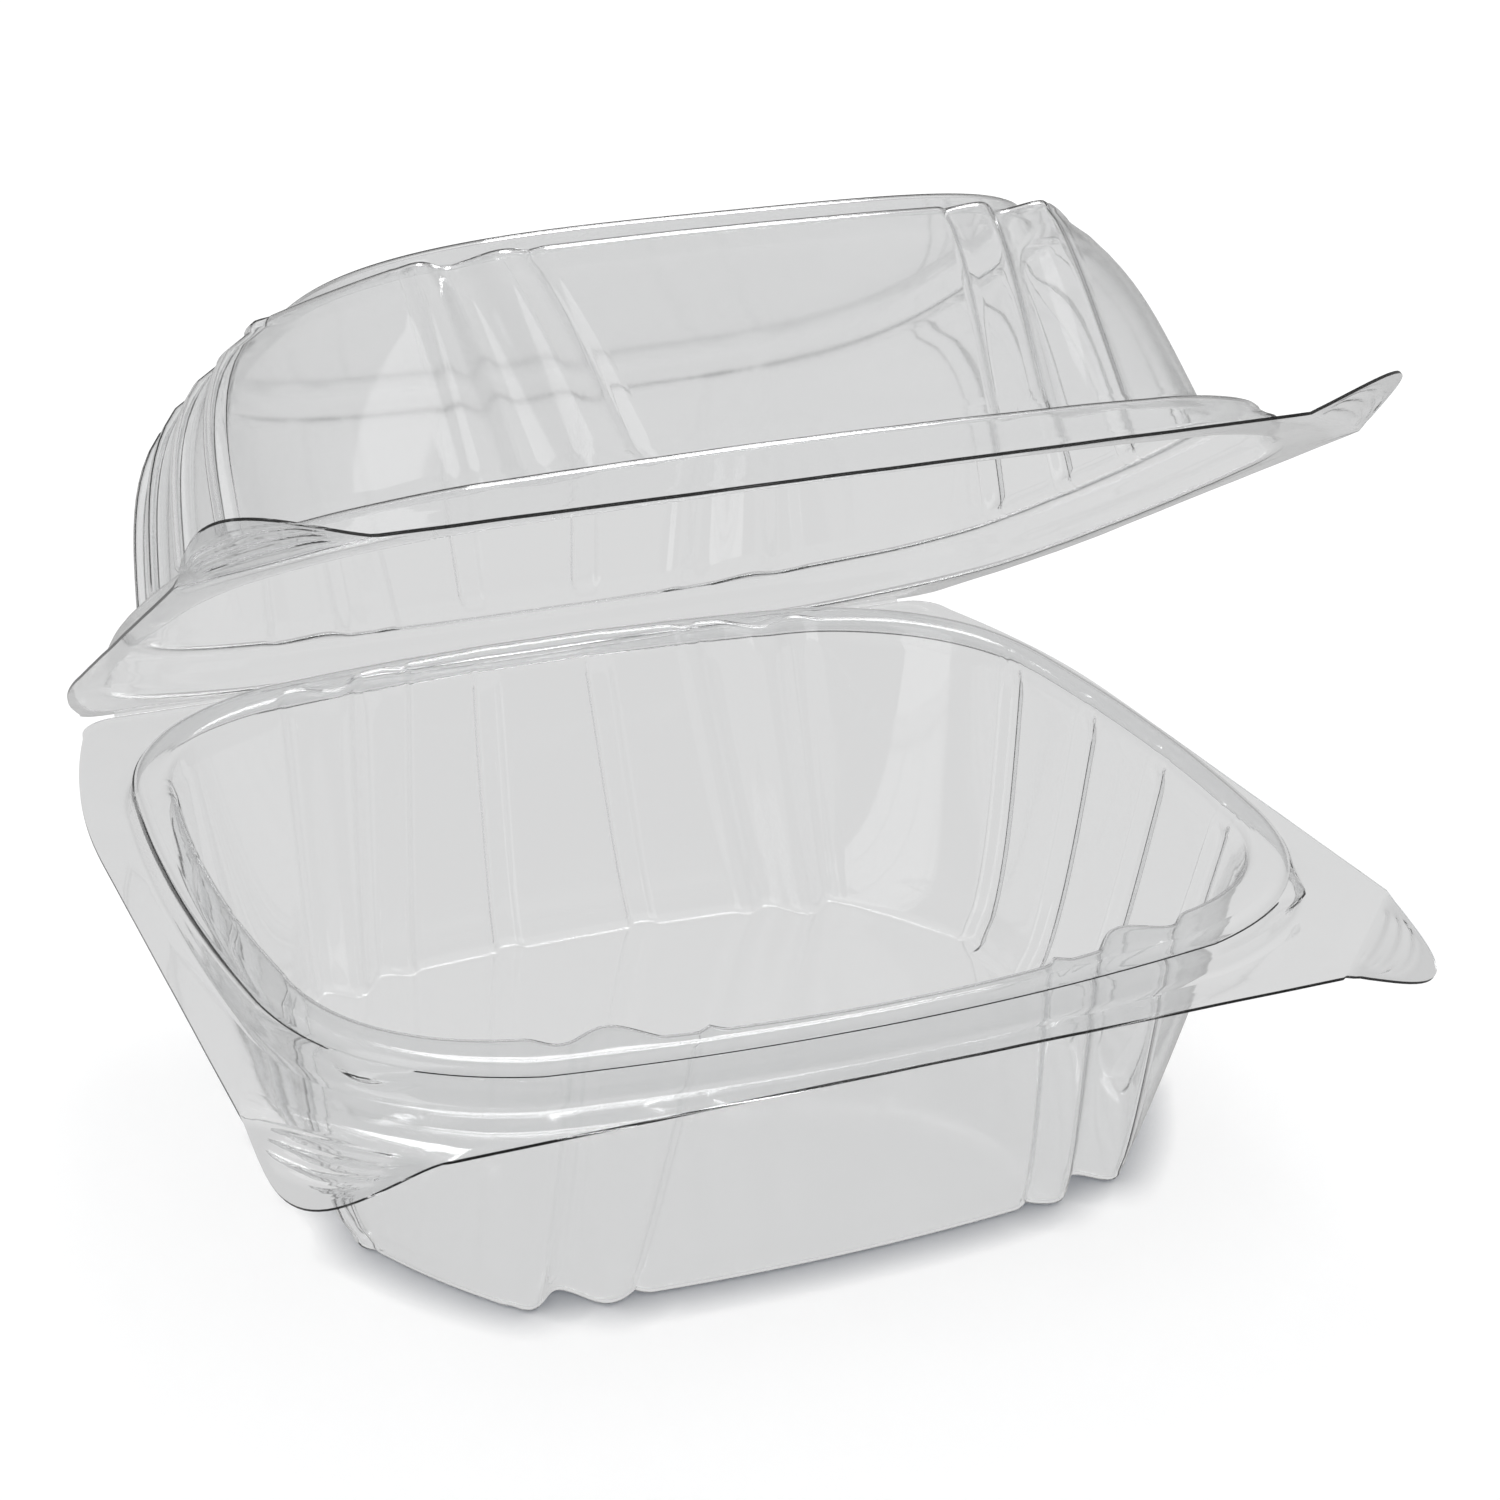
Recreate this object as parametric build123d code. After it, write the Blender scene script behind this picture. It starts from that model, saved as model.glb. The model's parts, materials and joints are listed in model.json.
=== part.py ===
from build123d import *
import os
from math import cos, hypot, radians, sin

# Clear hinged-lid food pack, thermoformed from one plastic sheet, in millimetres.
# The origin is the middle of the foot on the table, +X to the right, +Y to the hinge, +Z up.

# Overall sizes
width = 152.0          # across the flange, left to right
depth = 142.0          # from the front edge of the flange to the hinge axis
base_height = 38.5     # from the table to the top of the base flange
lid_height = 38.0      # from the underside of the lid flange to the top panel
sheet = 0.4            # thickness of the plastic
open_angle = 28.0      # how far the lid stands open at rest, in degrees

# Rim: a flat flange, a step up to a shoulder, and the edge of the opening
flange_side = 4.6      # flat flange at the sides
flange_front = 3.5     # flat flange at the front and along the hinge
rim_rise = 5.0         # shoulder above the base flange
rim_draft = 0.8        # how far the step leans in
shoulder_side = 4.6    # flat shoulder at the sides
shoulder_front = 3.5   # flat shoulder at the front and back
rim_bow_x = 1.8        # side of the rim, middle against corner
rim_bow_y = 3.7        # front of the rim, middle against corner
rim_corner_x = 27.0    # start of the rim's corner, in from the side
rim_corner_y = 34.0    # end of the rim's corner, in from the front
rim_bulge = 6.2        # roundness of the rim's corner, from its chord

# Drafted walls between the foot and the opening
foot_inset_x = 10.5    # foot inside the opening at each side
foot_inset_y = 12.7    # foot inside the opening at front and back
wall_bow_x = (0.8, 2.5)       # bow of the side walls at the foot and at the opening
wall_bow_y = (3.5, 5.9)       # bow of the front and back walls
corner_x = (12.5, 22.5)       # start of a corner, in from the side
corner_y = (24.0, 28.7)       # end of a corner, in from the front
corner_bulge = (0.9, 4.1)     # roundness of a corner, from its chord
corner_tighten = 0.3          # bulge lost by the inner face of a corner, per millimetre inwards
tray_swell = (1.6, 1.0)       # walls of the base swell outwards at the sides, and at front and back
lid_swell = (4.0, 1.5)        # walls of the lid swell outwards at the sides, and at front and back
swell_at = 0.3                # share of the wall's height, from the foot, at which it swells most

# Corner flutes of the front and back walls, measured from the corner to the middle
flute_end = (1.3, 2.0)        # outer flute, where it meets the corner
flute_outer = (3.0, 4.5)      # outer flute, where it meets the valley
valley = (7.0, 10.0)          # middle of the valley
flute_inner = (11.0, 15.5)    # inner flute, where it meets the valley
flute_root = (13.0, 18.2)     # inner flute, where it meets the notch
notch = (15.3, 20.5)          # bottom of the notch beside the panel
panel_end = (16.3, 21.5)      # edge of the plain panel
flute_out = 0.6               # flutes stand out from the wall
valley_in = 3.4               # valley lies inside the wall
notch_in = 2.0                # notch lies inside the wall
corner_in = 1.2               # wall drops back where a corner begins

# Upright ribs of the side walls and the back wall
rib_foot_width = 4.4          # rib where it leaves the wall
rib_top_width = 2.4           # rib at its crest
rib_out = 2.0                 # rib stands out from the wall
side_rib_count = 4            # ribs spread evenly along a side wall
side_rib_from_corner = (3.2, 3.5)   # outermost side ribs, from the corner
back_rib_share = 0.43         # back ribs, as a share of the way from the middle to the plain panel's edge

# Top panel of the lid, raised over the fluted edge of the walls
panel_rise = 3.0       # top panel above the wall's upper edge
panel_inset = 4.5      # foot of the panel's step, inside the wall's upper edge
panel_draft = 1.5      # how far the panel's step leans in
panel_corner = 22.0    # corner of the panel, along each side
panel_bulge = 5.5      # roundness of the panel's corner, from its chord

# Finger tabs at the front corners
tab_front = 18.8       # start of a tab on the front edge, from the side
tab_side = 19.3        # start of a tab on the side edge, from the front
tab_reach = 10.0       # length of a tab out from its crease
tab_neck = 6.0         # half-width where the round end begins
tab_neck_reach = 7.6   # distance of that point from the crease
tab_bend = 24.0        # bend at the crease, in degrees

# Hinge: one fold of the same sheet, so each half stops just short of the axis
hinge_gap = 0.3        # sheet left out on each side of the axis
stack_gap = 0.3        # space between the closed flanges
rim_gap = 0.4          # space between the closed steps
hinge_taper = 6.5      # flange narrows this much on each side at the hinge
taper_start = 50.0     # start of that narrowing, in front of the hinge
taper_middle = 1.8     # how far the side has come in halfway
hinge_corner = 2.0     # rounding at the ends of the hinge

# Values that follow from the sizes above
half_width = width / 2
half_depth = depth / 2
shoulder_z = base_height + rim_rise
step_x = half_width - flange_side
step_y = half_depth - flange_front
opening_x = step_x - rim_draft - shoulder_side
opening_y = step_y - rim_draft - shoulder_front
foot_x = opening_x - foot_inset_x
foot_y = opening_y - foot_inset_y
hinge_z = base_height + stack_gap / 2
closed_z = base_height + stack_gap
wall_top = lid_height - panel_rise
lid_shoulder = rim_rise + rim_gap


def between(pair, share):
    """Value at a share of the way from the foot to the opening."""
    return pair[0] + (pair[1] - pair[0]) * share


def loop(stops, z):
    """Flat face at a height; a stop marked True is the middle of an arc."""
    points = [Vector(x, y, z) for x, y, is_middle in stops]
    edges = []
    for i, (x, y, is_middle) in enumerate(stops):
        follows = (i + 1) % len(stops)
        if is_middle:
            edges.append(Edge.make_three_point_arc(points[i - 1], points[i], points[follows]))
        elif not stops[follows][2]:
            edges.append(Edge.make_line(points[i], points[follows]))
    return Face(Wire(edges))


def round_walls(walls, bulge):
    """Four walls as (along, out) stops, turned into place and joined by round corners."""
    turns = ((1, 0, 0, -1), (0, 1, 1, 0), (-1, 0, 0, 1), (0, -1, -1, 0))
    placed = []
    for wall, (ax, ox, ay, oy) in zip(walls, turns):
        placed.append([(ax * u + ox * d, ay * u + oy * d, middle) for u, d, middle in wall])
    stops = []
    for wall, following in zip(placed, placed[1:] + placed[:1]):
        (x0, y0, _), (x1, y1, _) = wall[-1], following[0]
        chord = hypot(x1 - x0, y1 - y0)
        out_x, out_y = (y1 - y0) / chord, (x0 - x1) / chord
        corner = ((x0 + x1) / 2 + out_x * bulge, (y0 + y1) / 2 + out_y * bulge, True)
        stops += wall + [corner]
    return stops


def rib(at):
    """Stops of one upright rib, as (along, out from the wall)."""
    outer, inner = rib_foot_width / 2, rib_top_width / 2
    return [(at - outer, 0), (at - inner, rib_out), (at + inner, rib_out), (at + outer, 0)]


def fluted_half(end, share):
    """Stops from the panel to the corner of a front or back wall."""
    places = ((panel_end, 0), (notch, -notch_in), (flute_root, flute_out), (flute_inner, flute_out),
              (valley, -valley_in), (flute_outer, flute_out / 2), (flute_end, 0), ((0, 0), -corner_in))
    return [(end - between(place, share), out, place is valley) for place, out in places]


def wall_face(share, z, inset, swell):
    """Fluted outline of the walls, from the foot (share 0) to the opening (share 1)."""
    half_x = foot_x + foot_inset_x * share
    half_y = foot_y + foot_inset_y * share
    end_x = half_x - between(corner_x, share)
    end_y = half_y - between(corner_y, share)
    right = fluted_half(end_x, share)
    left = [(-u, out, middle) for u, out, middle in reversed(right)]
    back_rib_at = back_rib_share * (end_x - between(panel_end, share))
    back_ribs = [(u, out, False) for at in (-back_rib_at, back_rib_at) for u, out in rib(at)]
    outer_rib = end_y - between(side_rib_from_corner, share)
    rib_step = 2 * outer_rib / (side_rib_count - 1)
    rib_places = [i * rib_step - outer_rib for i in range(side_rib_count)]
    ribs = [(v, out, False) for at in rib_places for v, out in rib(at)]
    side = [(-end_y, 0, False)] + ribs + [(end_y, 0, False)]

    def bowed(wall, half, bow, end):
        return [(u, half - inset - bow * (u / end) ** 2 + out, m) for u, out, m in wall]

    bow_x = between(wall_bow_x, share)
    bow_y = between(wall_bow_y, share)
    swollen = min(share / swell_at, (1 - share) / (1 - swell_at))
    swell_x, swell_y = [amount * swollen for amount in swell]
    front = bowed(left + [(0, 0, True)] + right, half_y + swell_y, bow_y, end_x)
    back = bowed(left + back_ribs + right, half_y + swell_y, bow_y, end_x)
    sides = bowed(side, half_x + swell_x, bow_x, end_y)
    bulge = between(corner_bulge, share) - inset * corner_tighten
    return loop(round_walls((front, sides, back, sides), bulge), z)


def smooth_face(half_x, half_y, in_x, in_y, bow_x, bow_y, bulge, z):
    """Plain outline with bowed sides and round corners."""
    end_x, end_y = half_x - in_x, half_y - in_y
    front = [(-end_x, half_y - bow_y, False), (0, half_y, True), (end_x, half_y - bow_y, False)]
    side = [(-end_y, half_x - bow_x, False), (0, half_x, True), (end_y, half_x - bow_x, False)]
    return loop(round_walls((front, side, front, side), bulge), z)


def rim_face(outside, z):
    """Outline of the rim's step, moved out by a distance."""
    return smooth_face(step_x + outside, step_y + outside, rim_corner_x, rim_corner_y,
                       rim_bow_x, rim_bow_y, rim_bulge, z)


def panel_face(inset, z):
    """Outline of the lid's top panel, inside the upper edge of the walls."""
    return smooth_face(foot_x - inset, foot_y - inset, panel_corner, panel_corner,
                       wall_bow_x[0], wall_bow_y[0], panel_bulge, z)


def plate(face, thickness):
    return extrude(face, amount=thickness, dir=(0, 0, 1))


def flange_plate(z, rim_outside):
    """Flat flange, with its crease lines at the front corners and its narrower hinge edge."""
    back = half_depth - hinge_gap
    tab_y = -half_depth + tab_side
    right = [(half_width - tab_front, -half_depth, False),
             (half_width, tab_y, False),
             (half_width, half_depth - taper_start, False),
             (half_width - taper_middle, half_depth - taper_start / 2, True),
             (half_width - hinge_taper, back - hinge_corner, False),
             (half_width - hinge_taper - hinge_corner, back, False)]
    left = [(-x, y, middle) for x, y, middle in reversed(right)]
    return plate(loop(right + left, z), sheet) - plate(rim_face(rim_outside - sheet, z), sheet)


def finger_tab(side, z, bend):
    """Round-ended tab beyond a front corner's crease, bent by an angle (up is positive)."""
    start = Vector(side * half_width, -half_depth + tab_side, z + sheet / 2)
    end = Vector(side * (half_width - tab_front), -half_depth, z + sheet / 2)
    along = (end - start).normalized() * side
    flat_out = Vector(-along.Y, along.X, 0)
    out = flat_out * cos(radians(bend)) + Vector(0, 0, sin(radians(bend)))
    half_crease = (end - start).length / 2
    crease = Plane(origin=(start + end) * 0.5, x_dir=along, z_dir=along.cross(out))
    overlap = sheet / 4
    outline = Wire([
        Edge.make_line((half_crease, -overlap), (half_crease, 0)),
        Edge.make_line((half_crease, 0), (tab_neck, tab_neck_reach)),
        Edge.make_three_point_arc((tab_neck, tab_neck_reach), (0, tab_reach), (-tab_neck, tab_neck_reach)),
        Edge.make_line((-tab_neck, tab_neck_reach), (-half_crease, 0)),
        Edge.make_line((-half_crease, 0), (-half_crease, -overlap)),
        Edge.make_line((-half_crease, -overlap), (half_crease, -overlap)),
    ])
    return crease * extrude(Face(outline), amount=sheet / 2, dir=(0, 0, 1), both=True)


def rim_step(bottom, top, outside):
    """Hollow step from the underside of the flange up to the shoulder, closed on top."""
    outer = loft([rim_face(outside, bottom), rim_face(outside - rim_draft, top)], ruled=True)
    inner = loft([rim_face(outside - sheet, bottom), rim_face(outside - sheet - rim_draft, top - sheet)],
                 ruled=True)
    return outer - inner


def wall_solid(foot_z, opening_z, from_z, to_z, inset, swell):
    """Solid filled up to the fluted walls between two heights."""
    heights = (from_z, foot_z + (opening_z - foot_z) * swell_at, to_z)
    shares = [(z - foot_z) / (opening_z - foot_z) for z in heights]
    return loft([wall_face(share, z, inset, swell) for share, z in zip(shares, heights)], ruled=True)


def make_base_tray():
    flange_z = base_height - sheet
    tray = rim_step(flange_z, shoulder_z, 0)
    tray += wall_solid(0, shoulder_z, 0, shoulder_z, 0, tray_swell)
    tray += flange_plate(flange_z, 0)
    for side in (-1, 1):
        tray += finger_tab(side, flange_z, -tab_bend)
    return tray - wall_solid(0, shoulder_z, sheet, shoulder_z + sheet, sheet, tray_swell)


def make_lid():
    """Lid in its closed place, then swung open about the hinge."""
    outside = rim_gap + sheet
    shoulder = lid_shoulder + sheet
    lid = rim_step(0, shoulder, outside)
    lid += wall_solid(wall_top, shoulder, shoulder - sheet, wall_top, 0, lid_swell)
    lid += loft([panel_face(panel_inset, wall_top - sheet),
                 panel_face(panel_inset + panel_draft, lid_height)], ruled=True)
    lid += flange_plate(0, outside)
    for side in (-1, 1):
        lid += finger_tab(side, 0, tab_bend)
    lid -= wall_solid(wall_top, shoulder, shoulder - 2 * sheet, wall_top - sheet, sheet, lid_swell)
    lid -= loft([panel_face(panel_inset + sheet, wall_top - 2 * sheet),
                 panel_face(panel_inset + panel_draft + sheet, lid_height - sheet)], ruled=True)
    lid = Pos(0, 0, closed_z) * lid
    hinge = Axis((0, half_depth, hinge_z), (-1, 0, 0))
    return lid.rotate(hinge, open_angle)


os.makedirs("parts", exist_ok=True)
for name, make in (("base_tray", make_base_tray), ("lid", make_lid)):
    solid = make()
    export_step(solid, f"parts/{name}.step")
    print(name, "solids", len(solid.solids()), "volume", round(solid.volume, 1), "valid", solid.is_valid)
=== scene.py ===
# %% [markdown]
# # A clear hinged-lid food pack
# The pack is one thin plastic sheet, heated and drawn over a mould: a fluted tray, a domed lid and a fold
# between them. It could be cut out of solids, but a sheet keeps its bends best when it is drawn the way
# the mould drew it. So this lesson makes it from rings: one ring of vertices is laid along the edge of
# the flange and extruded, ring by ring, down into the tray. Lengths are in millimetres until a piece is
# finished.

# %% Load the measured frame
import json
import math

import bmesh
import bpy
from mathutils import Matrix, Vector, noise
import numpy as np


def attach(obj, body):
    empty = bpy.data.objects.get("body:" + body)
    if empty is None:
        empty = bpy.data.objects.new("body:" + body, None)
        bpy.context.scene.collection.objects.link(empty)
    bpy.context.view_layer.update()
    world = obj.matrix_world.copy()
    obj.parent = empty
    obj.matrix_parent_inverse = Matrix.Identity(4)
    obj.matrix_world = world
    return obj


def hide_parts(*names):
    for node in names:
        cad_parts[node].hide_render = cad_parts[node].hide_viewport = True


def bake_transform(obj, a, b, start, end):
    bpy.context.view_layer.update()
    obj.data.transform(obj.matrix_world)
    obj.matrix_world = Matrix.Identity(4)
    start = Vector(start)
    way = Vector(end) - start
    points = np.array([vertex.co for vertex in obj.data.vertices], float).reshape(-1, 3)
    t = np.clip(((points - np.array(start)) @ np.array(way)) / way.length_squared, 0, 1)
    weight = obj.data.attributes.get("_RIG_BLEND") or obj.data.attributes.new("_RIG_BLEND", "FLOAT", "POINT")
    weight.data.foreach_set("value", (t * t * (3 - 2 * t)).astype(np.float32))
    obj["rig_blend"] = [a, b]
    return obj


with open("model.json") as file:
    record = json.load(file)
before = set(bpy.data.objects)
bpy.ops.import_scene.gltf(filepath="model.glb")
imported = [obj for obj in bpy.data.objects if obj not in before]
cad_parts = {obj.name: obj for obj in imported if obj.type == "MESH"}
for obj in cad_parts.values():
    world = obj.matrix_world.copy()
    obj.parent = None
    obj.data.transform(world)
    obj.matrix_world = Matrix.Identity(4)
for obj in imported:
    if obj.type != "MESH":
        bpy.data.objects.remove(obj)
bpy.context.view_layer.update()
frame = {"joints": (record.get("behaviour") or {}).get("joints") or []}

MM = 0.001
joint = frame["joints"][0]
hinge = Vector(joint["pos_m"]) / MM
closed_turn = joint["range_deg"][0]
print("hinge axis at", [round(c, 2) for c in hinge], "mm, closed at", closed_turn, "degrees")

# %% [markdown]
# ## The camera
# The camera stands where the photograph was taken from: a little to the pack's left, above it, and close
# enough for the near tabs to look large. A 76 mm lens on a square frame gives that perspective. A longer
# lens from further off would show the same sides, but flatter.

# %% Camera
CAMERA_AZIMUTH = math.radians(-22.70)
CAMERA_ELEVATION = math.radians(22.92)
CAMERA_PLACE = Vector((-143.7, -362.8, 215.4)) * MM
CAMERA_LENS = 76.03
SENSOR_WIDTH = 36

scene = bpy.context.scene
camera_data = bpy.data.cameras.new("camera")
camera_data.lens = CAMERA_LENS
camera_data.sensor_width = SENSOR_WIDTH
camera = bpy.data.objects.new("camera", camera_data)
scene.collection.objects.link(camera)
towards_camera = Vector((math.sin(CAMERA_AZIMUTH) * math.cos(CAMERA_ELEVATION),
                         -math.cos(CAMERA_AZIMUTH) * math.cos(CAMERA_ELEVATION),
                         math.sin(CAMERA_ELEVATION)))
camera.location = CAMERA_PLACE
camera.rotation_mode = "QUATERNION"
camera.rotation_quaternion = (-towards_camera).to_track_quat("-Z", "Y")
scene.camera = camera
print("camera at", [round(c, 4) for c in camera.location], "m")

# %% [markdown]
# ## Columns around the wall
# The walls are drawn into upright flutes and ribs, which keep a thin sheet stiff. A bevelled box with
# grooves cut into it would give them sharp, even edges. Here every ring has the same vertices instead,
# and vertex number i of each ring lies in one upright column. A column keeps its place on a flute or rib
# from the foot to the rim, so the flutes run through cleanly. Places are given twice, at the foot and at
# the rim, because the flutes lean.

# %% Sizes of the walls, in millimetres
SHEET = 0.4
HALF_WIDTH = 76.0
HALF_DEPTH = 71.0
BASE_HEIGHT = 38.5
LID_HEIGHT = 38.0
OPENING = (66.0, 63.2)                   # half-width and half-depth of the opening
FOOT = (55.5, 50.5)                      # half-width and half-depth of the foot
BOW = ((0.8, 3.5), (2.5, 5.9))           # bow of side and front walls, at the foot and at the opening
CORNER = ((12.5, 24.0), (22.5, 28.7))    # corners begin this far in from side and front, at the same two
CORNER_BULGE = (0.9, 4.1)                # roundness of corners, at the foot and at the opening
CORNER_OUT = (-2.0, 0.0)                 # how far front and side walls stand out where a corner begins


def mix(a, b, t):
    return a + (b - a) * t


def clamp(t):
    return min(1, max(0, t))


def wall_ends(share):
    """Half-lengths of the front and side walls between their corners."""
    half_sizes = [mix(FOOT[i], OPENING[i], share) for i in (0, 1)]
    start = [mix(CORNER[0][i], CORNER[1][i], share) for i in (0, 1)]
    return half_sizes[0] - start[0], half_sizes[1] - start[1]


FOOT_END, RIM_END = wall_ends(0), wall_ends(1)
print("walls between corners, foot", FOOT_END, "and rim", RIM_END)


# %% Curves between two places on a wall
def steady(t):
    return t


def ease(t):
    return (1 - math.cos(math.pi * t)) / 2


def soft_start(t):
    return 1 - math.cos(math.pi / 2 * t)


def soft_stop(t):
    return math.sin(math.pi / 2 * t)


def spread(stops):
    """Columns (place at foot, place at rim, out) between stops (foot, rim, out, count, curve)."""
    spaced = []
    for (f0, r0, o0, _, _), (f1, r1, o1, count, curve) in zip(stops, stops[1:]):
        for i in range(count):
            t = i / count
            spaced.append((mix(f0, f1, t), mix(r0, r1, t), mix(o0, o1, curve(t))))
    return spaced


# %% Ribs and flutes
RIB_OUT = 1.5
RIB_HALF = 2.8                 # half-width of a rib where it leaves the wall
RIB_CREST = 1.0                # half-width of its crest
FLANK_COLUMNS = 8
CREST_COLUMNS = 3


def rib_stops(foot_at, rim_at, before):
    """An upright rib: two steep flanks and a narrow crest."""
    return [(foot_at - RIB_HALF, rim_at - RIB_HALF, 0, before, steady),
            (foot_at - RIB_CREST, rim_at - RIB_CREST, RIB_OUT, FLANK_COLUMNS, ease),
            (foot_at + RIB_CREST, rim_at + RIB_CREST, RIB_OUT, CREST_COLUMNS, steady),
            (foot_at + RIB_HALF, rim_at + RIB_HALF, 0, FLANK_COLUMNS, ease)]


def fluted_half_stops(notch, fall, rise):
    """Half a fluted wall, by distances in from its corner at foot and rim, then out, columns and curve."""
    places = ((17.8, 23.1, 0.0, 0, steady),           # edge of the plain panel
              (15.9, 21.0, notch, 8, fall),           # bottom of the notch
              (12.0, 16.8, 0.9, 10, rise),            # crest of the first flute
              (7.0, 10.0, -3.8, 10, ease),            # bottom of the valley
              (2.4, 3.2, -0.1, 10, ease),             # crest of the second flute
              (0.0, 0.0, CORNER_OUT[0], 5, ease))     # start of the corner
    return [(FOOT_END[0] - f, RIM_END[0] - r, out, count, curve) for f, r, out, count, curve in places]


def mirrored(stops):
    """The same stops for the other half of a wall, running towards the middle."""
    swapped = {soft_start: soft_stop, soft_stop: soft_start}
    back = [(-f, -r, out) for f, r, out, _, _ in reversed(stops)]
    spans = [(0, steady)]
    spans += [(count, swapped.get(curve, curve)) for _, _, _, count, curve in reversed(stops[1:])]
    return [stop + span for stop, span in zip(back, spans)]


# %% Columns of the four walls
PANEL_COLUMNS = 20
RIB_GAP_COLUMNS = 8
SIDE_END_COLUMNS = 3
CORNER_COLUMNS = 30
FRONT_NOTCH = -1.3
BACK_NOTCH = -1.1
BACK_RIB_SHARE = 0.43          # place of a back rib, as a share of the plain panel's half-width
OUTER_RIB_IN = (3.2, 3.5)      # a side wall's outer ribs stand this far in from its ends, at foot and rim
SIDE_RIBS = (-1, -1 / 3, 1 / 3, 1)

half = fluted_half_stops(FRONT_NOTCH, soft_start, soft_stop)
panel_edge = half[0][:3]
front_stops = mirrored(half) + [panel_edge + (PANEL_COLUMNS, steady)] + half[1:]

half = fluted_half_stops(BACK_NOTCH, ease, ease)
back_at = (BACK_RIB_SHARE * panel_edge[0], BACK_RIB_SHARE * panel_edge[1])
back_ribs = rib_stops(-back_at[0], -back_at[1], RIB_GAP_COLUMNS) + rib_stops(*back_at, RIB_GAP_COLUMNS)
back_stops = mirrored(half) + back_ribs + [panel_edge + (RIB_GAP_COLUMNS, steady)] + half[1:]

outer_rib = (FOOT_END[1] - OUTER_RIB_IN[0], RIM_END[1] - OUTER_RIB_IN[1])
side_stops = [(-FOOT_END[1], -RIM_END[1], CORNER_OUT[1], 0, steady)]
for share in SIDE_RIBS:
    side_stops += rib_stops(outer_rib[0] * share, outer_rib[1] * share, RIB_GAP_COLUMNS)
side_stops += [(FOOT_END[1], RIM_END[1], CORNER_OUT[1], SIDE_END_COLUMNS, steady)]

columns = []
for side, stops in enumerate((front_stops, side_stops, back_stops, side_stops)):
    last = stops[-1][:3]
    columns += [("wall", side) + place for place in spread(stops) + [last]]
    columns += [("corner", side, i / CORNER_COLUMNS) for i in range(1, CORNER_COLUMNS)]
print(len(columns), "columns around the wall")

# %% [markdown]
# ## Outlines
# Seen from above, the pack is fluted at its walls, smooth at its rim, and a rounded rectangle at the
# lid's top panel. Each outline could be a drawn curve, but then its points wouldn't match those of the
# next. Here each one is a function that gives the place of a column, so that any two of them can be
# joined ring to ring.

# %% The fluted wall
TURN = ((1, 0, 0, -1), (0, 1, 1, 0), (-1, 0, 0, 1), (0, -1, -1, 0))
SWELL_AT = 0.3                 # share of the wall's height where it swells most
SWELL_POWER = math.log(0.5) / math.log(SWELL_AT)
RIB_TOP = (0.97, 0.88)         # shares of the wall's height where ribs end and where they are full
RIB_LEFT = 0.1                 # share of a rib's depth that goes on into the mouth's bend
BULGE_LOSS = 0.3               # share of an inset by which a corner's roundness shrinks


def placed(side, u, d):
    """A point at a distance along a side and a distance out from the middle."""
    ax, ox, ay, oy = TURN[side]
    return Vector((ax * u + ox * d, ay * u + oy * d))


def on_corner(a, b, bulge, t):
    """A point of a round corner between two wall ends, by its share of the way."""
    chord = b - a
    out = Vector((chord.y, -chord.x)).normalized()
    return a + chord * t + out * bulge * 4 * t * (1 - t)


def fluted_point(column, share, inset, swell=(0, 0)):
    """A point of the fluted wall at a share of its height, moved in by a distance."""
    full = math.sin(math.pi * clamp(share) ** SWELL_POWER)
    half_sizes = [mix(FOOT[i], OPENING[i], share) + swell[i] * full for i in (0, 1)]
    bow = [mix(BOW[0][i], BOW[1][i], share) for i in (0, 1)]
    ends = wall_ends(share)
    rib = mix(RIB_LEFT, 1, ease(clamp((RIB_TOP[0] - share) / (RIB_TOP[0] - RIB_TOP[1]))))

    def wall_point(side, u, out):
        along = side % 2
        stand = out * rib if out > 0 else out
        d = half_sizes[1 - along] - bow[1 - along] * (u / ends[along]) ** 2 + stand - inset
        return placed(side, u, d)

    if column[0] == "wall":
        _, side, foot_at, rim_at, out = column
        return wall_point(side, mix(foot_at, rim_at, share), out)
    _, side, t = column
    following = (side + 1) % 4
    a = wall_point(side, ends[side % 2], CORNER_OUT[side % 2])
    b = wall_point(following, -ends[following % 2], CORNER_OUT[following % 2])
    return on_corner(a, b, mix(*CORNER_BULGE, share) - BULGE_LOSS * inset, t)


foot_front = fluted_point(("wall", 0, 0, 0, 0), 0, 0)
print("middle of the front wall at the foot", [round(c, 2) for c in foot_front])

# %% The rim and its catches
STEP = (71.4, 67.5)            # half-width and half-depth of the rim's step at the flange
RIM_CORNER = (27.0, 34.0)      # corners of the rim begin this far in from the side and from the front
RIM_BOW = (1.8, 3.7)           # bow of the rim's sides, and of its front and back
RIM_BULGE = 6.2
LOCK_OUT = 1.3                 # depth of the small catch in each front corner's step
LOCK_WIDTH = 0.1               # share of the corner that the catch takes up
LOCK_REACH = 0.25              # half its height, as a share of the step's
LOCK_ROWS = (-0.2, -0.1, 0, 0.1, 0.2)


def rim_point(column, outside):
    """A point of the rim's smooth outline, moved outwards by a distance."""
    half_sizes = (STEP[0] + outside, STEP[1] + outside)
    ends = (half_sizes[0] - RIM_CORNER[0], half_sizes[1] - RIM_CORNER[1])

    def wall_point(side, t):
        along = side % 2
        return placed(side, t * ends[along], half_sizes[1 - along] - RIM_BOW[1 - along] * t * t)

    if column[0] == "wall":
        _, side, _, rim_at, _ = column
        return wall_point(side, rim_at / RIM_END[side % 2])
    _, side, t = column
    return on_corner(wall_point(side, 1), wall_point((side + 1) % 4, -1), RIM_BULGE, t)


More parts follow.
